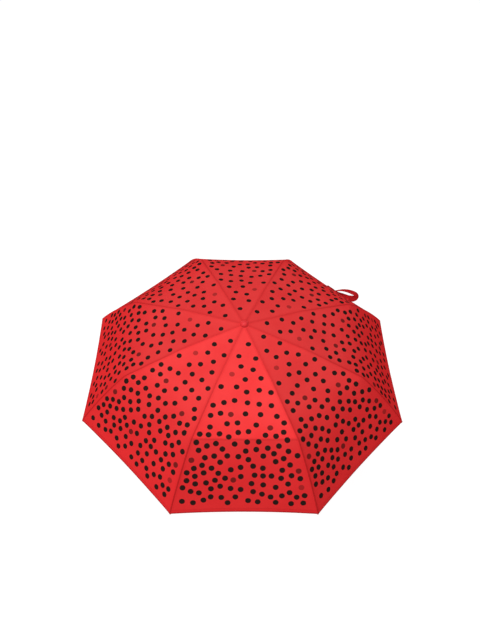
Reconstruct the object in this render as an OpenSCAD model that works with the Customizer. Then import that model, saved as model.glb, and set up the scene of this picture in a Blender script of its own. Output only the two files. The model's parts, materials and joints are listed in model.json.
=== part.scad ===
/* [Canopy] */
// Radius from the shaft to the end of each rib tip
tip_r = 450; // [430:1:460]
// Height of the rib pivots above the bottom of the handle
crown_z = 538; // [520:1:560]
// Fabric thickness
cloth_t = 0.5; // [0.4:0.1:0.8]
// Height of the fabric above the middle line of the ribs
cloth_gap = 3.6; // [3.4:0.1:4]
// How far the hem curves inwards between two tips
hem_dip = 3.5; // [1:0.5:10]
// How far the fabric sinks between two ribs
cloth_sag = 4; // [0:1:8]

/* [Ribs] */
// Length of the inner rib section
inner_len = 162; // [158:1:166]
// Slope of the inner rib section below level
inner_slope = 7.5; // [6:0.5:9]
// Length of the middle rib section
middle_len = 152; // [146:1:156]
// Slope of the middle rib section
middle_slope = 13.3; // [12:0.1:15]
// Average slope of the outer rib section
outer_slope = 45; // [42:1:48]
// Half of the angle that the outer section bends through
outer_bend = 8; // [4:1:10]
// Distance from the shaft's axis to the rib and stretcher pivots
pivot_r = 9; // [9:0.1:9.4]
// Distance along the inner section to the stretcher bracket
bracket_x = 90; // [86:1:94]
// Depth of the stretcher pivot below the inner section
bracket_drop = 6; // [5.5:0.1:6.5]

/* [Shaft] */
// Outer radius of the top tube
top_tube_r = 5.5; // [5.4:0.1:5.6]
// Wall of each tube
tube_wall = 0.6; // [0.5:0.1:0.7]
// Height of the lower end of the top tube
top_tube_z = 316; // [310:1:318]
// Height of the lower end of the middle tube
middle_tube_z = 182; // [180:1:186]

/* [Handle] */
// Radius of the grip
grip_r = 14; // [13:0.5:15]
// Length of the handle
handle_len = 62; // [58:1:64]

/* [Hidden] */
$fn = 48;
fit = 0.05;
rib_count = 8;
first_rib = 22.5;

// Rib sections: points in the plane of one rib, as distance from the axis and height.
p0 = [pivot_r, crown_z];
p1 = p0 + inner_len * [cos(inner_slope), -sin(inner_slope)];
p2 = p1 + middle_len * [cos(middle_slope), -sin(middle_slope)];
outer_chord = (tip_r - p2[0]) / cos(outer_slope);
p3 = p2 + outer_chord * [cos(outer_slope), -sin(outer_slope)];
arc_r = outer_chord / (2 * sin(outer_bend));
arc_start = outer_slope - outer_bend;
arc_centre = p2 - arc_r * [sin(arc_start), cos(arc_start)];
tip_len = 13;
tip_turn = tip_len / arc_r * 180 / PI;

// Stretcher pivots: the crown, bracket and runner pivots form an isosceles triangle.
bracket_r = norm([bracket_x, bracket_drop]);
stretch_angle = inner_slope + atan(bracket_drop / bracket_x);
p_bracket = p0 + bracket_r * [cos(stretch_angle), -sin(stretch_angle)];
runner_z = crown_z - 2 * bracket_r * sin(stretch_angle);

// Rib section shapes
bar_w = 2.4;
bar_h = 3;
groove_w = 1.2;
groove_h = 1.8;
side_w = 2.2;
side_y = 2.6;
eye_r = 2.4;
hub_eye_r = 2;
pin_r = 0.8;
bore_r = pin_r + fit;
wire_r = 1.1;
ring_wire_r = 0.7;
slot_w = 3;
slot_floor_r = 6.6;
hub_r = 12;

// Tubes
middle_tube_r = top_tube_r - tube_wall - fit;
bottom_tube_r = middle_tube_r - tube_wall - fit;
tube_overlap = 18;
collar_h = 4;

// Runner
runner_drop = 34;
barrel_r = 8.6;
button_z = runner_z - 20;
button_r = 3;

// Handle
cap_len = 8;
cord_hole_r = 2;
cord_hole_y = -8.7;
cord_boss_w = 12;
cord_notch_y = -4.5;

// Canopy
hole_r = 4.2;
flat_r = 11;
top_steps = 5;
outer_steps = 9;
gore_steps = 6;
edge_in = 4;

// Closure band
band_w = 20;
band_t = 1.4;
band_tilt = 43;
band_out = 6;

// Frames and small shapes

module on_rib(k) {
    rotate([0, 0, first_rib + k * 360 / rib_count]) children();
}

// Moves to a point of the rib's plane, with the section's length along +X.
module at_section(point, slope) {
    translate([point[0], 0, point[1]]) rotate([0, slope, 0]) children();
}

module cross_pin(r, y0, y1) {
    translate([0, y1, 0]) rotate([90, 0, 0]) cylinder(r = r, h = y1 - y0);
}

module channel(x0, x1, y, width) {
    difference() {
        translate([x0, y - width / 2, -bar_h / 2]) cube([x1 - x0, width, bar_h]);
        translate([x0 + 3, y - groove_w / 2, -bar_h / 2 - 1])
            cube([x1 - x0 - 6, groove_w, groove_h + 1]);
    }
}

module ring_of_slots(z0, z1) {
    for (k = [0 : rib_count - 1])
        on_rib(k) translate([slot_floor_r, -slot_w / 2, z0]) cube([10, slot_w, z1 - z0]);
}

module pivot_ring(z, r) {
    translate([0, 0, z]) rotate_extrude() translate([pivot_r, 0]) circle(r = r, $fn = 24);
}

module pipe(r, z0, z1) {
    translate([0, 0, z0]) difference() {
        cylinder(r = r, h = z1 - z0);
        translate([0, 0, -1]) cylinder(r = r - tube_wall, h = z1 - z0 + 2);
    }
}

// Rib sections

module rib_inner(k) {
    color("silver") on_rib(k) at_section(p0, inner_slope) {
        difference() {
            union() {
                cross_pin(hub_eye_r, -bar_w / 2, bar_w / 2);
                channel(0, inner_len, 0, bar_w);
                translate([inner_len, 0, 0]) cross_pin(eye_r, -bar_w / 2, bar_w / 2);
            }
            cross_pin(bore_r, -bar_w, bar_w);
        }
        translate([inner_len, 0, 0]) {
            cross_pin(pin_r, 0, side_y + side_w / 2 + 0.3);
            translate([0, side_y + side_w / 2 + 0.25, 0]) cross_pin(pin_r * 2, 0, 0.6);
        }
        stretcher_bracket();
    }
}

module stretcher_bracket() {
    for (side = [-1, 1]) {
        translate([bracket_x, side * 1.65, -bracket_drop]) cross_pin(eye_r, -0.4, 0.4);
        translate([bracket_x - eye_r, side * 1.65 - 0.4, -bracket_drop])
            cube([2 * eye_r, 0.8, bracket_drop + bar_h / 2]);
        translate([bracket_x - eye_r, side * 1.15 - 0.3, -bar_h / 2])
            cube([2 * eye_r, 0.6, bar_h]);
    }
    translate([bracket_x, 0, -bracket_drop]) cross_pin(pin_r, -2.5, 2.5);
}

module stretcher(k) {
    length = bracket_r;
    color("silver") on_rib(k) at_section([pivot_r, runner_z], -stretch_angle) difference() {
        union() {
            cross_pin(hub_eye_r, -side_w / 2, side_w / 2);
            channel(0, length, 0, side_w);
            translate([length, 0, 0]) cross_pin(hub_eye_r, -side_w / 2, side_w / 2);
        }
        cross_pin(bore_r, -side_w, side_w);
        translate([length, 0, 0]) cross_pin(bore_r, -side_w, side_w);
    }
}

module rib_middle(k) {
    color("silver") on_rib(k) at_section(p1, middle_slope) {
        difference() {
            union() {
                translate([0, side_y, 0]) cross_pin(eye_r, -side_w / 2, side_w / 2);
                channel(0, middle_len, side_y, side_w);
                translate([middle_len, side_y, 0]) cross_pin(eye_r, -side_w / 2, side_w / 2);
            }
            cross_pin(bore_r, 0, side_y + side_w);
        }
        translate([middle_len, 0, 0]) {
            cross_pin(pin_r, -side_w / 2 - 0.3, side_y);
            translate([0, -side_w / 2 - 0.25, 0]) cross_pin(pin_r * 2, -0.6, 0);
        }
    }
}

module arc_wire(turn0, turn1, r) {
    translate([arc_centre[0], 0, arc_centre[1]]) rotate([0, arc_start, 0]) rotate([90, 0, 0])
        rotate([0, 0, 90 - turn1]) rotate_extrude(angle = turn1 - turn0, $fn = 720)
            translate([arc_r, 0]) circle(r = r, $fn = 24);
}

module rib_outer(k) {
    color("dimgray") on_rib(k) {
        arc_wire(0.7, 2 * outer_bend - tip_turn, wire_r);
        at_section(p2, arc_start) difference() {
            union() {
                cross_pin(eye_r, -side_w / 2, side_w / 2);
                translate([0, -side_w / 2, -1.3]) cube([14, side_w, 2.6]);
            }
            cross_pin(bore_r, -side_w, side_w);
        }
    }
}

module rib_tip(k) {
    color("rosybrown") on_rib(k) at_section(p3, outer_slope + outer_bend - tip_turn / 2)
        rotate([0, 90, 0]) translate([0, 0, -tip_len]) rotate_extrude() polygon([
            [0, 0], [1.6, 0], [1.6, tip_len - 5], [2.2, tip_len - 4.2],
            [2.4, tip_len - 2.6], [1.9, tip_len - 1], [1, tip_len - 0.2], [0, tip_len]
        ]);
}

// Shaft, crown, cap and runner

module tube_top() {
    color("gainsboro") {
        pipe(top_tube_r, top_tube_z, crown_z + 1.5);
        translate([0, 0, top_tube_z]) difference() {
            cylinder(r = top_tube_r + 0.9, h = collar_h);
            translate([0, 0, -1]) cylinder(r = top_tube_r - 0.2, h = collar_h + 2);
        }
    }
}

module tube_middle() {
    color("gainsboro") {
        pipe(middle_tube_r, middle_tube_z, top_tube_z + tube_overlap);
        translate([0, 0, middle_tube_z]) difference() {
            cylinder(r = middle_tube_r + 0.9, h = collar_h);
            translate([0, 0, -1]) cylinder(r = middle_tube_r - 0.2, h = collar_h + 2);
        }
    }
}

module tube_bottom() {
    color("gainsboro") pipe(bottom_tube_r, 14, middle_tube_z + tube_overlap);
}

module crown() {
    color("black") difference() {
        translate([0, 0, crown_z]) union() {
            translate([0, 0, -6]) cylinder(r = hub_r, h = 8.2);
            translate([0, 0, 2.2]) cylinder(r1 = hub_r, r2 = hub_r - 1.4, h = 0.8);
            cylinder(r = 3.2, h = 9.5);
        }
        translate([0, 0, crown_z - 8]) cylinder(r = top_tube_r + 0.02, h = 9.6);
        ring_of_slots(crown_z - 7, crown_z + 2.2);
        pivot_ring(crown_z, ring_wire_r + 0.02);
    }
}

module crown_wire() {
    color("silver") pivot_ring(crown_z, ring_wire_r);
}

module cap() {
    color("red") translate([0, 0, crown_z + cloth_gap + cloth_t + 0.2]) difference() {
        rotate_extrude() polygon([
            [0, 0], [10, 0], [10.3, 0.9], [9.9, 2.6], [8.6, 4.6], [6.5, 6.3],
            [3.7, 7.4], [1.4, 7.7], [0, 7.7]
        ]);
        translate([0, 0, -1]) cylinder(r = 3.22, h = 6.6);
    }
}

module runner() {
    color("black") difference() {
        union() {
            translate([0, 0, runner_z - 3]) cylinder(r = hub_r, h = 7);
            translate([0, 0, runner_z - runner_drop]) cylinder(r = barrel_r, h = runner_drop);
            translate([0, 0, runner_z - 6]) cylinder(r1 = barrel_r, r2 = hub_r, h = 3);
            translate([0, 0, runner_z - runner_drop]) cylinder(r = barrel_r + 1.6, h = 5);
            for (ring = [0 : 2])
                translate([0, 0, runner_z - 15 + 2.4 * ring]) cylinder(r = barrel_r + 0.5, h = 1);
        }
        translate([0, 0, runner_z - 40]) cylinder(r = top_tube_r + 0.08, h = 60);
        ring_of_slots(runner_z - 2.4, runner_z + 5);
        pivot_ring(runner_z, ring_wire_r + 0.02);
        translate([top_tube_r - 1, 0, button_z - 1.5]) rotate([0, 90, 0])
            cylinder(r = button_r, h = 12);
    }
}

module runner_wire() {
    color("silver") pivot_ring(runner_z, ring_wire_r);
}

module runner_button() {
    color("firebrick") translate([7.3, 0, button_z - 1.5]) rotate([0, 90, 0]) {
        cylinder(r = button_r - fit, h = 3.4);
        translate([0, 0, 3.4]) cylinder(r1 = button_r - fit, r2 = button_r - 0.6, h = 0.6);
    }
}

// Handle

module handle_grip() {
    color("black") difference() {
        rotate_extrude() polygon([
            [0, cap_len + 0.1], [grip_r - 0.6, cap_len + 0.1], [grip_r, cap_len + 2],
            [grip_r, handle_len - 18],
            [grip_r + 0.6, handle_len - 14], [grip_r + 2.4, handle_len - 4],
            [grip_r + 2.4, handle_len - 1.2], [grip_r + 1.4, handle_len], [0, handle_len]
        ]);
        translate([0, 0, 14]) cylinder(r = bottom_tube_r + 0.02, h = handle_len);
        translate([0, 0, handle_len - 6]) cylinder(r1 = grip_r - 5, r2 = grip_r, h = 6.1);
    }
}

// The end cap has a boss between two notches, with a cross hole for a wrist cord.
module handle_cap() {
    color("firebrick") difference() {
        rotate_extrude() polygon([
            [0, 0], [grip_r - 3, 0], [grip_r - 1.4, 0.8], [grip_r - 0.6, 2.4],
            [grip_r - 0.6, cap_len], [0, cap_len]
        ]);
        for (side = [-1, 1])
            translate([side * (cord_boss_w / 2 + grip_r) - grip_r, -2 * grip_r, -1])
                cube([2 * grip_r, 2 * grip_r + cord_notch_y, cap_len + 2]);
        translate([0, cord_hole_y, cap_len / 2]) rotate([0, 90, 0])
            cylinder(r = cord_hole_r, h = 2 * grip_r, center = true);
    }
}

// Canopy: each row of points follows the ribs at one distance from the crown, and each
// gore's points lie between two ribs, sunk a little below the straight line.

function rib_normal(slope) = [sin(slope), cos(slope)];
function mix(a, b, s) = a + (b - a) * s;
function arc_point(turn) =
    arc_centre + arc_r * [sin(arc_start + turn), cos(arc_start + turn)];

outer_end = 2 * outer_bend - edge_in / arc_r * 180 / PI;
rows = concat(
    [[[hole_r, crown_z], 0, 0], [[flat_r, crown_z - 0.1], 3, 0]],
    [for (i = [1 : top_steps - 1]) [mix(p0, p1, i / top_steps), inner_slope, i / top_steps / 2]],
    [[p1, (inner_slope + middle_slope) / 2, 0.5]],
    [for (i = [1 : top_steps - 1])
        [mix(p1, p2, i / top_steps), middle_slope, 0.5 + i / top_steps / 2]],
    [[p2, (middle_slope + arc_start) / 2, 1]],
    [for (i = [1 : outer_steps])
        let (turn = outer_end * i / outer_steps) [arc_point(turn), arc_start + turn, 1]]
);
row_count = len(rows);
ring_count = rib_count * gore_steps;

function rib_direction(k) =
    [cos(first_rib + k * 360 / rib_count), sin(first_rib + k * 360 / rib_count)];

// The hem row is pulled up the slope in the middle of each gore.
function row_dip(i, bow) =
    hem_dip * bow * pow(max(0, (i - row_count + outer_steps) / (outer_steps - 1)), 2);

function cloth_point(i, j, lift) =
    let (
        k = floor(j / gore_steps),
        s = j / gore_steps - k,
        bow = 4 * s * (1 - s),
        slope = rows[i][1],
        flat = rows[i][0] + lift * rib_normal(slope),
        a = rib_direction(k),
        b = rib_direction(k + 1),
        mid = (a + b) / norm(a + b),
        across = mix(a, b, s) * flat[0],
        sink = cloth_sag * rows[i][2] * bow,
        dip = row_dip(i, bow),
        plan = across - mid * (sink * sin(slope) + dip * cos(slope))
    )
    [plan[0], plan[1], flat[1] - sink * cos(slope) + dip * sin(slope)];

function cloth_face(base, i, j) =
    let (
        a = base + i * ring_count + j,
        b = base + i * ring_count + (j + 1) % ring_count
    )
    [a, b, b + ring_count, a + ring_count];

function flip(face) = [face[0], face[3], face[2], face[1]];
function split(quad) = [[quad[0], quad[1], quad[2]], [quad[0], quad[2], quad[3]]];

module canopy() {
    shell = row_count * ring_count;
    lifts = [cloth_gap, cloth_gap + cloth_t];
    points = [
        for (lift = lifts) for (i = [0 : row_count - 1]) for (j = [0 : ring_count - 1])
            cloth_point(i, j, lift)
    ];
    under = [for (i = [0 : row_count - 2]) for (j = [0 : ring_count - 1]) cloth_face(0, i, j)];
    over = [for (i = [0 : row_count - 2]) for (j = [0 : ring_count - 1])
        flip(cloth_face(shell, i, j))];
    edges = [for (i = [0, row_count - 1]) for (j = [0 : ring_count - 1])
        let (
            a = i * ring_count + j,
            b = i * ring_count + (j + 1) % ring_count,
            quad = [a, b, b + shell, a + shell]
        )
        i == 0 ? flip(quad) : quad];
    faces = [for (quad = concat(under, over, edges)) for (face = split(quad)) face];
    color("red") polyhedron(points = points, faces = faces);
}

// Closure band: a sewn loop that leaves the hem in the middle of one gore and hangs outwards.

module closure_band() {
    mid = (cos(180 / rib_count) * (tip_r - 2) - hem_dip) * [cos(45), sin(45)];
    color("firebrick") translate([mid[0] + band_out, mid[1], p3[1] + 6])
        rotate([band_tilt, 0, 0]) translate([0, 0, 3 - band_w])
            linear_extrude(band_w) difference() {
                band_outline(band_t);
                band_outline(0);
            }
}

module band_outline(grow) {
    hull() {
        translate([2, 0]) circle(r = 0.6 + grow);
        translate([32, 2.5]) circle(r = 0.6 + grow);
        translate([59, -12.5]) circle(r = 9 + grow);
        translate([6, -8]) circle(r = 0.6 + grow);
    }
}

handle_grip();
handle_cap();
tube_bottom();
tube_middle();
tube_top();
crown();
crown_wire();
cap();
runner();
runner_wire();
runner_button();
canopy();
closure_band();
for (k = [0 : rib_count - 1]) rib_inner(k);
for (k = [0 : rib_count - 1]) stretcher(k);
for (k = [0 : rib_count - 1]) rib_middle(k);
for (k = [0 : rib_count - 1]) rib_outer(k);
for (k = [0 : rib_count - 1]) rib_tip(k);
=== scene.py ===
"""A small folding umbrella: cloth canopy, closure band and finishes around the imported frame."""

import json
import math
import random

import bpy
import numpy as np
from mathutils import Matrix, Vector


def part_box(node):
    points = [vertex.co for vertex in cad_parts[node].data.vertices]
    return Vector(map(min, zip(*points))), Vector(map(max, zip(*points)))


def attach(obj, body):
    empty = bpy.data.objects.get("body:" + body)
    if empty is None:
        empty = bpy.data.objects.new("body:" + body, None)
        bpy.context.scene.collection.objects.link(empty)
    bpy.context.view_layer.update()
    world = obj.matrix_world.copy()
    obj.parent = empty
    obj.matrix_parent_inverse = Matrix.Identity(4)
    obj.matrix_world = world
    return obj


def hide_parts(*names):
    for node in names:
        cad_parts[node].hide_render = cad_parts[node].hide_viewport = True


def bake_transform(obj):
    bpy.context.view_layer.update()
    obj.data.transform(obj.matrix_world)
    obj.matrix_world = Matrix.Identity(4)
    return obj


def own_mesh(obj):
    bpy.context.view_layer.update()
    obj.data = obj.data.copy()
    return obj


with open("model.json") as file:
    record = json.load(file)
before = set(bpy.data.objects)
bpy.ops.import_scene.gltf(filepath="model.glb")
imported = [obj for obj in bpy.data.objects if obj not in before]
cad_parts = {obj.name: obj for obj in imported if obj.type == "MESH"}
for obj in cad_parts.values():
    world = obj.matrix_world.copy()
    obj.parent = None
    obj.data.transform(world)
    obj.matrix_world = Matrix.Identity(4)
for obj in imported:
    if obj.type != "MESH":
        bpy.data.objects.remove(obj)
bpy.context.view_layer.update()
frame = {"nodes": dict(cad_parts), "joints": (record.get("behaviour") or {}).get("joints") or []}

MM = 0.001
RIBS = 8
GORE = 2 * math.pi / RIBS
FIRST_RIB = math.radians(22.5)

# ---------------------------------------------------------------- sizes, from the frame

JOINTS = {joint["name"]: joint for joint in frame["joints"]}


def rib_direction(k):
    """The direction of rib k, seen from above."""
    turn = FIRST_RIB + k * GORE
    return np.array([math.cos(turn), math.sin(turn)])


def pivot(name):
    """A pivot of rib 0, as distance from the shaft's axis and height."""
    place = JOINTS[name]["pos_m"]
    return np.array([float(np.dot(place[:2], rib_direction(0))), place[2]])


CROWN = pivot("canopy_fold")
KNEE = pivot("middle_fold_0")
ELBOW = pivot("outer_fold_0")
RIB_TIP_R = 1.2 * MM
TIP_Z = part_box("rib_tip_0")[0].z + RIB_TIP_R
TIP_CIRCLE_R = 0.450

INNER_LEN = float(np.linalg.norm(KNEE - CROWN))
MIDDLE_LEN = float(np.linalg.norm(ELBOW - KNEE))
INNER_SLOPE = math.atan2(CROWN[1] - KNEE[1], KNEE[0] - CROWN[0])
MIDDLE_SLOPE = math.atan2(KNEE[1] - ELBOW[1], ELBOW[0] - KNEE[0])
OUTER_SLOPE = math.radians(45)
OUTER_BEND = math.radians(8)
OUTER_LEN = (TIP_CIRCLE_R - ELBOW[0]) / math.cos(OUTER_SLOPE) * OUTER_BEND / math.sin(OUTER_BEND)

# Distances along a rib from its pivot in the crown. The hem lies a little inside the rib's end.
HEM_IN = 4 * MM
CAP_EDGE = 1.5 * MM
COLLAR_EDGE = 15 * MM
KNEE_AT = INNER_LEN
ELBOW_AT = INNER_LEN + MIDDLE_LEN
HEM_AT = ELBOW_AT + OUTER_LEN - HEM_IN

# The cloth's height over the line of the pivots, how far it sinks between two ribs, and how far the hem
# curves in between them
LIFT = 3.85 * MM
SAG = 4 * MM
HEM_DIP = 3.5 * MM

# ---------------------------------------------------------------- canopy surface


def smooth_step(x):
    x = np.clip(x, 0, 1)
    return x * x * (3 - 2 * x)


# Lengths of the bends over the crown, the knees and the elbows
CROWN_BEND = 14 * MM
KNEE_BEND = 24 * MM
RIB_BEND = 13 * MM
SOFT_BEND = 120 * MM
# How far each gore's bend over the elbows softens from the rib one to the soft one. Gore 5, at the front,
# keeps a pressed crease.
EASE = [0.9, 0.9, 0.9, 0.9, 0.9, 0.0, 0.9, 0.9]


def slope_at(run, bend=RIB_BEND):
    """Slope of the ribs at a distance along them from the crown pivot, with rounded bends."""
    past_elbow = np.clip((run - ELBOW_AT) / OUTER_LEN, 0, 1)
    outer = OUTER_SLOPE + OUTER_BEND * (2 * past_elbow - 1)
    slope = INNER_SLOPE * smooth_step(run / CROWN_BEND + 0.5)
    slope = slope + (MIDDLE_SLOPE - INNER_SLOPE) * smooth_step((run - KNEE_AT) / KNEE_BEND + 0.5)
    return slope + (outer - MIDDLE_SLOPE) * smooth_step((run - ELBOW_AT) / bend + 0.5)


# From the shaft's axis to past the tips
RUN = np.linspace(-CROWN[0], ELBOW_AT + OUTER_LEN + 10 * MM, 6000)


def profile(bend):
    """Slope, distance from the shaft and fall along the ribs, for one sharpness of the elbow's bend."""
    slope = slope_at(RUN, bend)
    middle = (slope[1:] + slope[:-1]) / 2
    step = RUN[1] - RUN[0]
    return (slope, np.concatenate([[0], np.cumsum(np.cos(middle) * step)]),
            np.concatenate([[0], np.cumsum(np.sin(middle) * step)]))


RIB_PROFILE, SOFT_PROFILE = profile(RIB_BEND), profile(SOFT_BEND)


def out_at(run):
    return np.interp(run, RUN, RIB_PROFILE[1])


def chord_at(run):
    """Width of a gore at a distance from the crown."""
    return 2 * math.sin(GORE / 2) * out_at(run)


def unit(vectors):
    return vectors / np.linalg.norm(vectors, axis=-1, keepdims=True)


def surface(gore, run, across, lift):
    """Points of the cloth. Run is the distance from the crown pivot, and across goes from one rib, 0, to
    the next, 1."""
    bow = 4 * across * (1 - across)
    ease = EASE[gore % RIBS] * smooth_step(bow)
    slope, reach, fall = (np.interp(run, RUN, sharp) * (1 - ease) + np.interp(run, RUN, soft) * ease
                          for sharp, soft in zip(RIB_PROFILE, SOFT_PROFILE))
    out = reach + lift * np.sin(slope)
    height = CROWN[1] - fall + lift * np.cos(slope)
    a, b = rib_direction(gore), rib_direction(gore + 1)
    middle = unit(a + b)
    sink = SAG * smooth_step(run / ELBOW_AT) * bow
    x = out * (a[0] * (1 - across) + b[0] * across) - middle[0] * sink * np.sin(slope)
    y = out * (a[1] * (1 - across) + b[1] * across) - middle[1] * sink * np.sin(slope)
    return np.stack([x, y, height - sink * np.cos(slope)], axis=-1)


def surface_normal(gore, run, across, lift):
    step, share = 0.4 * MM, 0.002
    along = surface(gore, run + step, across, lift) - surface(gore, run - step, across, lift)
    side = surface(gore, run, across + share, lift) - surface(gore, run, across - share, lift)
    return unit(np.cross(along, side))


def hem_at(across):
    """Distance of the hem from the crown: it curves inwards between two ribs."""
    return HEM_AT - HEM_DIP * 4 * across * (1 - across)


# ---------------------------------------------------------------- printed dots

DOT_R = 6.7 * MM
FIRST_DOT = 44 * MM
SEAM_CLEAR = 13 * MM
HEM_CLEAR = 24 * MM
DOT_TRIES = 40000
DOT_SEED = 20
# Distances from the crown, and the least distance between two dots there
DOT_GAPS = ((40 * MM, 250 * MM, 300 * MM, 500 * MM), (31 * MM, 24 * MM, 19.5 * MM, 18.2 * MM))


def dot_tone(draw):
    """A few dots are half printed, some a little faded, and the rest full."""
    return 0.5 if draw < 0.03 else 0.8 if draw < 0.08 else 1.0


def scatter_dots():
    """Centres of the dots on one gore, closer together towards the hem, with a tone for each."""
    draw = random.Random(DOT_SEED)
    dots = []
    for _ in range(DOT_TRIES):
        run = draw.uniform(FIRST_DOT, HEM_AT)
        half = float(chord_at(run)) / 2
        x = draw.uniform(-half, half)
        if abs(x) > half - SEAM_CLEAR or run > hem_at(x / half / 2 + 0.5) - HEM_CLEAR:
            continue
        gap = float(np.interp(run, *DOT_GAPS))
        if all(math.hypot(x - dot[0], run - dot[1]) > gap for dot in dots):
            dots.append((x, run, dot_tone(draw.random())))
    return np.array(dots)


DOTS = scatter_dots()


def dot_fields(x, run):
    """The nearest dot: the way to its centre, the distance to its edge, negative inside it, and its
    tone."""
    gaps = np.hypot(x[..., None] - DOTS[:, 0], run[..., None] - DOTS[:, 1])
    near = DOTS[gaps.argmin(axis=-1)]
    return {"dot_x": x - near[..., 0], "dot_y": run - near[..., 1],
            "dot_distance": gaps.min(axis=-1) - DOT_R, "dot_tone": near[..., 2]}


# ---------------------------------------------------------------- materials


class Nodes:
    """Short calls for building a material."""

    def __init__(self, name):
        self.material = bpy.data.materials.new(name)
        self.material.use_nodes = True
        self.tree = self.material.node_tree
        self.shader = self.tree.nodes["Principled BSDF"]

    def add(self, kind, **settings):
        node = self.tree.nodes.new("ShaderNode" + kind)
        for key, value in settings.items():
            setattr(node, key, value)
        return node

    def link(self, source, target):
        self.tree.links.new(source, target)

    def feed(self, value, socket):
        if isinstance(value, bpy.types.NodeSocket):
            self.link(value, socket)
        else:
            socket.default_value = value

    def math(self, operation, a, b=0.0, clamp=False):
        node = self.add("Math", operation=operation, use_clamp=clamp)
        self.feed(a, node.inputs[0])
        self.feed(b, node.inputs[1])
        return node.outputs[0]

    def mix(self, amount, a, b):
        node = self.add("Mix", data_type="RGBA")
        self.feed(amount, node.inputs["Factor"])
        self.feed(a, node.inputs["A"])
        self.feed(b, node.inputs["B"])
        return node.outputs["Result"]

    def mapped(self, value, low, high, to_low=0.0, to_high=1.0):
        node = self.add("MapRange", interpolation_type="SMOOTHSTEP")
        self.feed(value, node.inputs["Value"])
        limits = {"From Min": low, "From Max": high, "To Min": to_low, "To Max": to_high}
        for name, number in limits.items():
            node.inputs[name].default_value = number
        return node.outputs["Result"]

    def noise(self, vector, scale, detail=3.0, roughness=0.5):
        node = self.add("TexNoise")
        self.link(vector, node.inputs["Vector"])
        node.inputs["Scale"].default_value = scale
        node.inputs["Detail"].default_value = detail
        node.inputs["Roughness"].default_value = roughness
        return node.outputs["Fac"]

    def wave(self, vector, scale, axis):
        node = self.add("TexWave", bands_direction=axis, wave_profile="SIN")
        self.link(vector, node.inputs["Vector"])
        node.inputs["Scale"].default_value = scale
        return node.outputs["Fac"]

    def attribute(self, name):
        return self.add("Attribute", attribute_name=name).outputs["Fac"]

    def object_place(self, stretch=(1, 1, 1)):
        place = self.add("TexCoord").outputs["Object"]
        mapping = self.add("Mapping")
        self.link(place, mapping.inputs["Vector"])
        mapping.inputs["Scale"].default_value = stretch
        return mapping.outputs["Vector"]

    def bump(self, height, distance, strength=1.0, normal=None):
        node = self.add("Bump")
        self.link(height, node.inputs["Height"])
        node.inputs["Distance"].default_value = distance
        node.inputs["Strength"].default_value = strength
        if normal is not None:
            self.link(normal, node.inputs["Normal"])
        return node.outputs["Normal"]

    def finish(self, **sockets):
        for name, value in sockets.items():
            self.feed(value, self.shader.inputs[name.replace("_", " ")])
        return self.material


# The first red is a painted sheen, paler and pinker, for the cloth near the crown.
CLOTH_SHEEN = (0.71, 0.044, 0.044, 1)
CLOTH_RED = (0.70, 0.027, 0.029, 1)
CLOTH_DEEP = (0.58, 0.016, 0.019, 1)
SEAM_SHADE = (0.27, 0.008, 0.008, 1)
BAND_DEEP = (0.40, 0.010, 0.014, 1)
BAND_SHADE = (0.17, 0.004, 0.008, 1)
THREAD_RED = (0.30, 0.008, 0.012, 1)
PRINT_BLACK = (0.020, 0.011, 0.009, 1)
CLOTH_GLOSS = (1.0, 0.24, 0.24, 1)

WEAVE_PITCH = 0.7 * MM
STITCH_PITCH = 2.6 * MM
THREAD_WIDTH = 0.5 * MM
SEAM_STITCH = 1.6 * MM
HEM_TURN = 8.5 * MM
BAND_STITCH = 2.0 * MM
DOT_BLUR = 0.3 * MM
DOT_MARGIN = 0.2 * MM


def weave(n, uv):
    """Height of a plain weave. A wave texture's bands lie about a third of a metre apart at scale 1."""
    threads = 1 / (math.pi * WEAVE_PITCH)
    return n.math("MAXIMUM", n.wave(uv, threads, "X"), n.wave(uv, threads, "Y"))


def stitches(n, distance, along, at):
    """A dashed line of thread at a distance from an edge."""
    off = n.math("ABSOLUTE", n.math("SUBTRACT", distance, at))
    line = n.mapped(off, THREAD_WIDTH * 0.5, THREAD_WIDTH, 1.0, 0.0)
    turn = n.math("MULTIPLY", along, 2 * math.pi / STITCH_PITCH)
    dash = n.mapped(n.math("SINE", turn), -0.55, -0.25)
    return n.math("MULTIPLY", line, dash)


def cloth_places(n):
    """The cloth's UV, in metres, with its two parts: across the gore and along it."""
    uv = n.add("UVMap", uv_map="gore").outputs["UV"]
    split = n.add("SeparateXYZ")
    n.link(uv, split.inputs[0])
    return uv, split.outputs["X"], split.outputs["Y"]


def printed_dots(n, uv):
    """How much print covers the cloth, from 0 to 1. The dots have sharp edges and a slight grain."""
    to_centre = n.add("CombineXYZ")
    n.link(n.attribute("dot_x"), to_centre.inputs["X"])
    n.link(n.attribute("dot_y"), to_centre.inputs["Y"])
    length = n.add("VectorMath", operation="LENGTH")
    n.link(to_centre.outputs["Vector"], length.inputs[0])
    # The second distance is coarse, and stops a dot where the nearest one changes within a face.
    edge = n.math("MAXIMUM", n.math("SUBTRACT", length.outputs["Value"], DOT_R),
                  n.math("SUBTRACT", n.attribute("dot_distance"), DOT_MARGIN))
    dot = n.mapped(edge, -DOT_BLUR, DOT_BLUR, 1.0, 0.0)
    printed = n.math("MULTIPLY", dot, n.attribute("dot_tone"))
    return n.math("MULTIPLY", printed, n.mapped(n.noise(uv, 900, 2.0), 0.1, 0.45, 0.93, 1.0))


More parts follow.
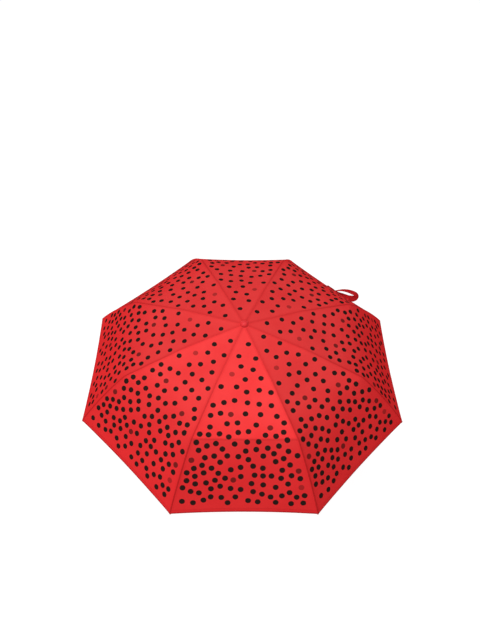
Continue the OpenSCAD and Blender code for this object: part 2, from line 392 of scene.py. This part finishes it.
def cloth_red(n, uv, along, seam, hem):
    """The plain cloth, with a painted sheen that makes it paler towards the crown and deeper towards the
    hem; slightly clouded, and deeper where it is doubled.
    """
    # Painted sheen: the cloth near the crown is paler and pinker than towards the hem.
    red = n.mix(n.mapped(along, 220 * MM, 400 * MM), CLOTH_SHEEN, CLOTH_RED)
    red = n.mix(n.mapped(n.noise(uv, 9, 3.0), 0.3, 0.7, 0.0, 0.35), red, CLOTH_DEEP)
    doubled = n.math("MAXIMUM", n.mapped(seam, 6.0 * MM, 6.6 * MM, 0.18, 0.0),
                     n.mapped(hem, 9.5 * MM, 10.2 * MM, 0.3, 0.0))
    return n.mix(doubled, red, CLOTH_DEEP)


def cloth_painted_shade(n, along, seam, hem):
    """Painted shade in the seams, stronger towards the hem, along the pressed crease and at the hem's
    edge.
    """
    shade_mask = n.math("MULTIPLY", n.mapped(seam, 0.6 * MM, 2.8 * MM, 1.0, 0.0),
                    n.mapped(along, 60 * MM, 420 * MM, 0.12, 0.55))
    crease = n.math("ABSOLUTE", n.math("SUBTRACT", along, ELBOW_AT))
    crease = n.math("MULTIPLY", n.mapped(crease, 0.8 * MM, 3.5 * MM, 0.22, 0.0), n.attribute("crease"))
    shade_mask = n.math("MAXIMUM", shade_mask, crease)
    return n.math("MAXIMUM", shade_mask, n.mapped(hem, 0.6 * MM, 4 * MM, 0.75, 0.0))


def canopy_cloth():
    n = Nodes("canopy_cloth")
    uv, across, along = cloth_places(n)
    seam = n.attribute("seam_distance")
    hem = n.attribute("hem_distance")
    printed = printed_dots(n, uv)
    red = n.mix(cloth_painted_shade(n, along, seam, hem), cloth_red(n, uv, along, seam, hem), SEAM_SHADE)
    thread = n.math("MAXIMUM", stitches(n, seam, along, SEAM_STITCH), stitches(n, hem, across, HEM_TURN))
    red = n.mix(n.math("MULTIPLY", thread, 0.4), red, THREAD_RED)
    relief = n.bump(weave(n, uv), 0.03 * MM, 0.35)
    puckers = n.math("MULTIPLY", n.noise(uv, 160, 2.0), n.mapped(seam, 0.0, 14 * MM, 1.0, 0.15))
    relief = n.bump(puckers, 0.9 * MM, 0.35, relief)
    relief = n.bump(n.math("MULTIPLY", thread, -1.0), 0.25 * MM, 0.6, relief)
    return n.finish(Base_Color=n.mix(printed, red, PRINT_BLACK), Normal=relief,
                    Roughness=n.mapped(printed, 0.0, 1.0, 0.44, 0.52), Specular_IOR_Level=0.0,
                    Specular_Tint=CLOTH_GLOSS, Metallic=0.12)


def band_cloth():
    n = Nodes("band_cloth")
    uv, _, along = cloth_places(n)
    thread = stitches(n, n.attribute("seam_distance"), along, BAND_STITCH)
    red = n.mix(n.mapped(n.noise(uv, 60), 0.3, 0.7, 0.2, 0.9), CLOTH_DEEP, BAND_DEEP)
    # The sewn end is darker than the loop: painted shade under the hem.
    red = n.mix(n.mapped(along, 24 * MM, 44 * MM, 0.6, 0.0), red, BAND_SHADE)
    red = n.mix(n.math("MULTIPLY", thread, 0.6), red, THREAD_RED)
    relief = n.bump(weave(n, uv), 0.03 * MM, 0.4)
    relief = n.bump(n.math("MULTIPLY", thread, -1.0), 0.3 * MM, 0.7, relief)
    return n.finish(Base_Color=red, Roughness=0.5, Normal=relief, Specular_IOR_Level=0.0,
                    Specular_Tint=CLOTH_GLOSS, Metallic=0.12)


def moulded(name, colour, roughness, grain, gloss=0.5):
    """Moulded plastic with a fine spark-eroded grain and faint handling marks."""
    n = Nodes(name)
    place = n.object_place()
    marks = n.noise(place, 55, 5.0, 0.6)
    worn = tuple(min(1.0, c * 1.35 + 0.006) for c in colour[:3]) + (1,)
    shade = n.mix(n.mapped(marks, 0.45, 0.75, 0.0, 0.7), colour, worn)
    bump = n.bump(n.noise(place, 2600, 2.0), grain, 0.5)
    bump = n.bump(n.noise(place, 120, 2.0), 0.12 * MM, 0.12, bump)
    rough = n.mapped(marks, 0.3, 0.8, roughness - 0.05, roughness + 0.1)
    return n.finish(Base_Color=shade, Roughness=rough, Normal=bump, Specular_IOR_Level=gloss)


def metal(name, colour, roughness, stretch, scratch):
    """Drawn or plated metal with a fine grain, slightly clouded. stretch draws the grain into lines."""
    n = Nodes(name)
    lines = n.noise(n.object_place(stretch), 400, 2.0)
    cloud = n.noise(n.object_place(), 30, 4.0, 0.6)
    dull = tuple(c * 0.62 for c in colour[:3]) + (1,)
    shade = n.mix(n.mapped(cloud, 0.4, 0.75, 0.0, 0.55), colour, dull)
    rough = n.math("ADD", n.mapped(lines, 0.3, 0.7, roughness - 0.06, roughness + 0.08),
                   n.mapped(cloud, 0.45, 0.8, 0.0, 0.12))
    return n.finish(Base_Color=shade, Metallic=1.0, Roughness=rough,
                    Normal=n.bump(lines, scratch, 0.4))


# ---------------------------------------------------------------- meshes

CLOTH = canopy_cloth()
BAND = band_cloth()


def grid_piece(name, points, normals, uv, fields, material, flip):
    """One sheet: points is rows x columns x 3, and each field is a number for every point. flip turns
    its faces over."""
    rows, columns = points.shape[:2]
    index = np.arange(rows * columns).reshape(rows, columns)
    quads = np.stack([index[:-1, :-1], index[1:, :-1], index[1:, 1:], index[:-1, 1:]], axis=-1)
    quads = quads.reshape(-1, 4)
    if flip:
        quads = quads[:, ::-1]
    mesh = bpy.data.meshes.new(name)
    mesh.from_pydata(points.reshape(-1, 3).tolist(), [], quads.tolist())
    layer = mesh.uv_layers.new(name="gore")
    corners = np.empty(len(mesh.loops), dtype=np.int32)
    mesh.loops.foreach_get("vertex_index", corners)
    layer.data.foreach_set("uv", uv.reshape(-1, 2)[corners].astype(np.float32).ravel())
    for key, values in fields.items():
        attribute = mesh.attributes.new(key, "FLOAT", "POINT")
        attribute.data.foreach_set("value", values.astype(np.float32).ravel())
    mesh.polygons.foreach_set("use_smooth", [True] * len(mesh.polygons))
    mesh.materials.append(material)
    mesh.update()
    if normals is not None:
        mesh.normals_split_custom_set_from_vertices(normals.reshape(-1, 3).tolist())
    piece = bpy.data.objects.new(name, mesh)
    bpy.context.scene.collection.objects.link(piece)
    return piece


# Columns of points on half a gore: close together beside the seam, then this many even ones
SEAM_COLUMNS = np.array([0, 0.006, 0.013, 0.021])
COLUMNS = {"inner": 28, "middle": 42, "outer": 56}
# The seams stand up, the hem's stitches pull in, and the turned hem hangs a little below the cloth.
SEAM_RISE, SEAM_WIDTH = 0.45 * MM, 2.2 * MM
STITCH_DENT, DENT_WIDTH = 0.3 * MM, 2 * MM
HEM_GAP = 0.9 * MM
HEM_BENDS = np.radians([45, 90, 135, 180])
HEM_ROWS = (0.25, 0.5, 0.75, 1.0)


def half_gore(section):
    """Columns from a rib to the middle of a gore, close together beside the seam."""
    return np.concatenate([SEAM_COLUMNS, np.linspace(0.03, 0.5, COLUMNS[section])])


def hump(distance, width):
    return np.exp(-((distance / width) ** 2))


def cloth_grid(gore, runs, across, lift):
    """Points, normals, UV and fields of a patch of one gore. runs and across are 2-D arrays."""
    chord = chord_at(runs)
    seam = np.minimum(across, 1 - across) * chord
    hem = hem_at(across) - runs
    rise = SEAM_RISE * hump(seam, SEAM_WIDTH) - STITCH_DENT * hump(hem - HEM_TURN, DENT_WIDTH)
    points = surface(gore, runs, across, lift + rise)
    normals = surface_normal(gore, runs, across, lift)
    x = (across - 0.5) * chord
    uv = np.stack([x, runs], axis=-1)
    fields = {"seam_distance": seam, "hem_distance": hem, **dot_fields(x, runs),
              "crease": np.full(runs.shape, 1 - EASE[gore % RIBS])}
    return points, normals, uv, fields


def turned_row(gore, runs, across, fall):
    """One row of the turned hem, a little below the cloth, without print."""
    points, normals, uv, fields = cloth_grid(gore, runs, across, LIFT)
    fields["dot_distance"][:] = DOT_R
    return points - normals * fall, -normals, uv, fields


def joined(parts, axis):
    """Patches of cloth side by side, axis 1, or one below the other, axis 0, as one patch."""
    points, normals, uv = (np.concatenate([part[i] for part in parts], axis=axis) for i in range(3))
    fields = {key: np.concatenate([part[3][key] for part in parts], axis=axis) for key in parts[0][3]}
    return points, normals, uv, fields


def hemmed(patch, gore, runs, across):
    """A patch with its lower edge turned under."""
    parts = [patch]
    edge, side = runs[-1:], across[-1:]
    for bend in HEM_BENDS:
        reach, fall = HEM_GAP / 2 * math.sin(bend), HEM_GAP / 2 * (1 - math.cos(bend))
        parts.append(turned_row(gore, edge + reach, side, fall))
    parts += [turned_row(gore, edge - back * HEM_TURN, side, HEM_GAP) for back in HEM_ROWS]
    return joined(parts, axis=0)


TOP_HOLE_R = 4.2 * MM
# How much lower the outer pieces start in the middle of a gore than at the ribs
PLEAT = 22 * MM


def elbow_at(across):
    """Where the middle and outer pieces meet: lower between the ribs, so that they fold flat."""
    return ELBOW_AT + PLEAT * 2 * np.minimum(across, 1 - across)


def level(run):
    """An edge at the same distance from the crown all across the gore."""
    return lambda across: np.full(len(across), run)


# Upper and lower edge, and rows of points
SECTIONS = {
    "inner": (level(COLLAR_EDGE), level(KNEE_AT), 46),
    "middle": (level(KNEE_AT), elbow_at, 54),
    "outer": (elbow_at, hem_at, 58),
}


def gather(piece):
    """Give a piece of cloth a mesh of its own."""
    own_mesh(piece)


def as_canopy():
    """Hide the CAD canopy."""
    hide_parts("canopy")


def make_half_gore(section, k, side):
    """The cloth between rib k and the middle of the gore ahead of it or behind it."""
    behind = side == "behind"
    gore, towards = (k - 1, k - 1) if behind else (k, k + 1)
    start, end, rows = SECTIONS[section]
    across = 1 - half_gore(section) if behind else half_gore(section)
    part = np.linspace(0, 1, rows)[:, None]
    runs = start(across) + (end(across) - start(across)) * part
    sides = np.repeat(across[None, :], rows, axis=0)
    points, normals, uv, fields = cloth_grid(gore, runs, sides, LIFT)
    if section == "outer":
        points, _, uv, fields = hemmed((points, normals, uv, fields), gore, runs, sides)
        normals = None
    piece = grid_piece(f"canopy_{section}_{k}_{side}", points, normals, uv, fields, CLOTH, behind)
    as_canopy()
    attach(piece, f"{section}_{k}")
    gather(piece)


def make_canopy():
    for k in range(RIBS):
        for side in ("ahead", "behind"):
            for section in SECTIONS:
                make_half_gore(section, k, side)


def cloth_rows(gore, runs, across):
    """A patch of one gore with straight rows."""
    return cloth_grid(gore, np.repeat(runs[:, None], len(across), axis=1),
                      np.repeat(across[None, :], len(runs), axis=0), LIFT)


def make_canopy_top():
    """The middle of the canopy, clamped under the cap, with a hole for the top of the crown."""
    half = half_gore("inner")
    across = np.concatenate([half, (1 - half)[::-1][1:]])
    runs = np.linspace(TOP_HOLE_R - CROWN[0], CAP_EDGE, 8)
    gores = [cloth_rows(gore, runs, across[:-1] if gore < RIBS - 1 else across) for gore in range(RIBS)]
    points, _, uv, fields = joined(gores, axis=1)
    piece = grid_piece("canopy_top", points, None, uv, fields, CLOTH, False)
    as_canopy()
    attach(piece, "shaft_top")


def make_collar(k):
    """The cloth beside the cap at rib k."""
    half = half_gore("inner")
    runs = np.linspace(CAP_EDGE, COLLAR_EDGE, 20)
    before = cloth_rows(k - 1, runs, (1 - half)[::-1])
    # The part before the rib has its UV moved, so that the weave runs on over the rib.
    before[2][..., 0] -= chord_at(runs)[:, None]
    points, normals, uv, fields = joined([before, cloth_rows(k, runs, half[1:])], axis=1)
    piece = grid_piece(f"canopy_collar_{k}", points, normals, uv, fields, CLOTH, False)
    as_canopy()
    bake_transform(piece)


# ---------------------------------------------------------------- closure band

BAND_W = 20 * MM
BAND_CUP = 0.6 * MM
SEWN_LENGTH = 30 * MM
SEWN_ROWS = 10

# The loop lies nearly in one plane, which leans back. These are its directions.
LOOP_TILT = math.radians(43)
LOOP_RIGHT = np.array([1.0, 0, 0])
LOOP_UP = np.array([0, math.cos(LOOP_TILT), math.sin(LOOP_TILT)])
LOOP_NEAR = np.array([0, -math.sin(LOOP_TILT), math.cos(LOOP_TILT)])

# Places on the loop's middle line in millimetres, as right, up and near, with its twist in degrees.
LOOP_ROUTE = [
    (0, 0, -3.5, 8), (14, 2, -5, 12), (28, 2.6, -6, 22), (43, 0.5, -6, 34), (56, -3.5, -6, 42),
    (67, -8.5, -6, 46), (72, -14, -6, 48), (69.5, -19.5, -6, 58), (61, -23, -7, 76),
    (46, -22.5, -9, 86), (30, -17.5, -10, 88), (9, -11, -11, 90), (-5, -4, -8, 90),
]


def smooth_route(places, steps):
    """A Catmull-Rom curve through the places."""
    ends = np.vstack([2 * places[0] - places[1], places, 2 * places[-1] - places[-2]])
    curve = []
    for i in range(len(places) - 1):
        a, b, c, d = ends[i:i + 4]
        for t in np.linspace(0, 1, steps, endpoint=False):
            curve.append(0.5 * (2 * b + (c - a) * t + (2 * a - 5 * b + 4 * c - d) * t**2
                                + (3 * b - a - 3 * c + d) * t**3))
    return np.array(curve + [places[-1]])


def make_band():
    """A loop of cloth sewn to the hem halfway between ribs 0 and 1. One end is sewn along the hem, and
    the other is tucked under it."""
    hem = float(hem_at(0.5))
    root = surface(0, hem, 0.5, LIFT)
    out = unit(np.append(rib_direction(0) + rib_direction(1), 0))
    along = np.array([-out[1], out[0], 0])
    slope = float(slope_at(hem))
    down = out * math.cos(slope) - np.array([0, 0, math.sin(slope)])
    skin = out * math.sin(slope) + np.array([0, 0, math.cos(slope)])

    route = smooth_route(np.array(LOOP_ROUTE, dtype=float), 8)
    share = np.linspace(1, 0.1, SEWN_ROWS)[:, None]
    sewn = along * SEWN_LENGTH * share + down * (3.5 - 5 * share) * MM + skin * 2.4 * MM
    loop = route[:, :3] @ np.array([LOOP_RIGHT, LOOP_UP, LOOP_NEAR]) * MM + skin * 1.4 * MM
    places = root + np.concatenate([sewn, loop])
    for _ in range(4):
        # Round the corner between the sewn end and the loop.
        places[8:14] = (places[7:13] + 2 * places[8:14] + places[9:15]) / 4
    tangent = unit(np.gradient(places, axis=0))
    turn = np.radians(route[:, 3])[:, None]
    beside = np.cross(LOOP_NEAR, tangent[SEWN_ROWS:])
    wide = np.concatenate([np.repeat([down + 0.36 * skin], SEWN_ROWS, axis=0),
                           beside * np.sin(turn) - LOOP_NEAR * np.cos(turn)])
    for _ in range(6):
        # Spread the twist along the strap.
        wide[1:-1] = unit(wide[:-2] + 2 * wide[1:-1] + wide[2:])
    wide = unit(wide - tangent * (wide * tangent).sum(axis=1, keepdims=True))
    face = np.cross(tangent, wide)

    across = np.linspace(-0.5, 0.5, 15)
    cup = BAND_CUP * np.cos(np.pi * across)
    points = (places[:, None] + wide[:, None] * across[None, :, None] * BAND_W
              + face[:, None] * cup[None, :, None])
    run = np.concatenate([[0], np.cumsum(np.linalg.norm(np.diff(places, axis=0), axis=1))])
    uv = np.stack(np.meshgrid(across * BAND_W, run), axis=-1)
    edge = np.repeat(((0.5 - np.abs(across)) * BAND_W)[None, :], len(places), axis=0)
    piece = grid_piece("closure_band_cloth", points, None, uv, {"seam_distance": edge}, BAND, False)
    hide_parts("closure_band")
    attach(piece, "outer_0")
    gather(piece)


# ---------------------------------------------------------------- finishes of the frame


def paint(material, *names):
    """Give the material to the named nodes, or to all of a numbered set."""
    for name in names:
        for node, piece in frame["nodes"].items():
            if node == name or node.rstrip("0123456789") == name + "_":
                piece.data.materials.clear()
                piece.data.materials.append(material)


def paint_frame():
    along_z = (1, 1, 0.02)
    paint(moulded("grip_plastic", (0.018, 0.018, 0.021, 1), 0.5, 0.05 * MM), "handle_grip")
    paint(moulded("black_plastic", (0.022, 0.022, 0.025, 1), 0.38, 0.03 * MM), "crown", "runner")
    paint(moulded("red_plastic", (0.66, 0.024, 0.030, 1), 0.5, 0.02 * MM, 0.2),
          "cap", "handle_cap", "runner_button")
    paint(metal("tube_steel", (0.50, 0.51, 0.53, 1), 0.24, along_z, 0.02 * MM),
          "tube_top", "tube_middle", "tube_bottom")
    paint(metal("rib_steel", (0.58, 0.59, 0.61, 1), 0.3, (1, 1, 1), 0.03 * MM),
          "rib_inner", "rib_middle", "stretcher", "crown_wire", "runner_wire")
    paint(metal("rib_wire", (0.36, 0.36, 0.38, 1), 0.32, (1, 1, 1), 0.03 * MM), "rib_outer")
    paint(metal("tip_metal", (0.60, 0.36, 0.34, 1), 0.34, (1, 1, 1), 0.02 * MM), "rib_tip")


# ---------------------------------------------------------------- camera, floor and light

CAMERA_AZIMUTH, CAMERA_ELEVATION, CAMERA_DISTANCE = -2.43, 54.73, 1.5714
CAMERA_PAN, CAMERA_TILT, CAMERA_ROLL = -0.45, -4.88, -2.3
CAMERA_LENS, CAMERA_SENSOR = 31.4, 36


def make_camera():
    a, e = math.radians(CAMERA_AZIMUTH), math.radians(CAMERA_ELEVATION)
    back = Vector((math.sin(a) * math.cos(e), -math.cos(a) * math.cos(e), math.sin(e)))
    right = Vector((math.cos(a), math.sin(a), 0))
    facing = Matrix((right, back.cross(right), back))
    turn = (Matrix.Rotation(math.radians(CAMERA_ROLL), 3, "Z")
            @ Matrix.Rotation(math.radians(CAMERA_PAN), 3, "Y")
            @ Matrix.Rotation(math.radians(CAMERA_TILT), 3, "X"))
    camera = bpy.data.objects.new("camera", bpy.data.cameras.new("camera"))
    bpy.context.scene.collection.objects.link(camera)
    camera.matrix_world = (Matrix.Translation(Vector((0, 0, TIP_Z)) + back * CAMERA_DISTANCE)
                           @ (turn @ facing).transposed().to_4x4())
    camera.data.lens = CAMERA_LENS
    camera.data.sensor_width = CAMERA_SENSOR
    camera.data.clip_start, camera.data.clip_end = 0.05, 60
    bpy.context.scene.camera = camera


FLOOR_LOW, FLOOR_HIGH = (0.2, 0.2, 0.2, 1), (0.22, 0.22, 0.22, 1)
WHITE = (1, 1, 1, 1)
WORLD_LIGHT, WORLD_SEEN = 0.28, 1.05


def make_floor():
    """A grey sheet with a nearly white glow of its own, like a light table, so that it shows white with a
    faint shadow."""
    size = 30
    mesh = bpy.data.meshes.new("floor")
    mesh.from_pydata([(-size, -size, 0), (size, -size, 0), (size, size, 0), (-size, size, 0)], [],
                     [(0, 1, 2, 3)])
    n = Nodes("floor_acrylic")
    tint = n.mix(n.mapped(n.noise(n.object_place(), 3), 0.3, 0.7), FLOOR_LOW, FLOOR_HIGH)
    mesh.materials.append(n.finish(Base_Color=tint, Roughness=0.9, Specular_IOR_Level=0.1,
                                   Emission_Color=WHITE, Emission_Strength=0.93))
    floor = bpy.data.objects.new("floor", mesh)
    floor.location.z = -1 * MM
    bpy.context.scene.collection.objects.link(floor)


def soft_light(name, place, size, power):
    light = bpy.data.objects.new(name, bpy.data.lights.new(name, "AREA"))
    light.data.shape = "DISK"
    light.data.size = size
    light.data.energy = power
    light.location = place
    aim = Vector((0, 0, 0.4)) - Vector(place)
    light.rotation_mode = "QUATERNION"
    light.rotation_quaternion = aim.to_track_quat("-Z", "Y")
    bpy.context.scene.collection.objects.link(light)


def make_lights():
    """Two soft lights and a pale world, which is weaker as a light than it looks to the camera."""
    soft_light("overhead", (-0.3, 0.2, 3.2), 1.9, 60)
    soft_light("side", (-1.4, -2.1, 2.2), 1.6, 30)
    world = bpy.data.worlds.new("studio")
    bpy.context.scene.world = world
    world.use_nodes = True
    tree = world.node_tree
    backdrop = tree.nodes["Background"]
    seen = tree.nodes.new("ShaderNodeLightPath").outputs["Is Camera Ray"]
    strength = tree.nodes.new("ShaderNodeMapRange")
    strength.inputs["To Min"].default_value = WORLD_LIGHT
    strength.inputs["To Max"].default_value = WORLD_SEEN
    tree.links.new(seen, strength.inputs["Value"])
    tree.links.new(strength.outputs["Result"], backdrop.inputs["Strength"])
    backdrop.inputs["Color"].default_value = WHITE
    bpy.context.scene.view_settings.view_transform = "Standard"


make_camera()
make_floor()
make_lights()
paint_frame()
make_canopy_top()
for rib in range(RIBS):
    make_collar(rib)
make_canopy()
make_band()
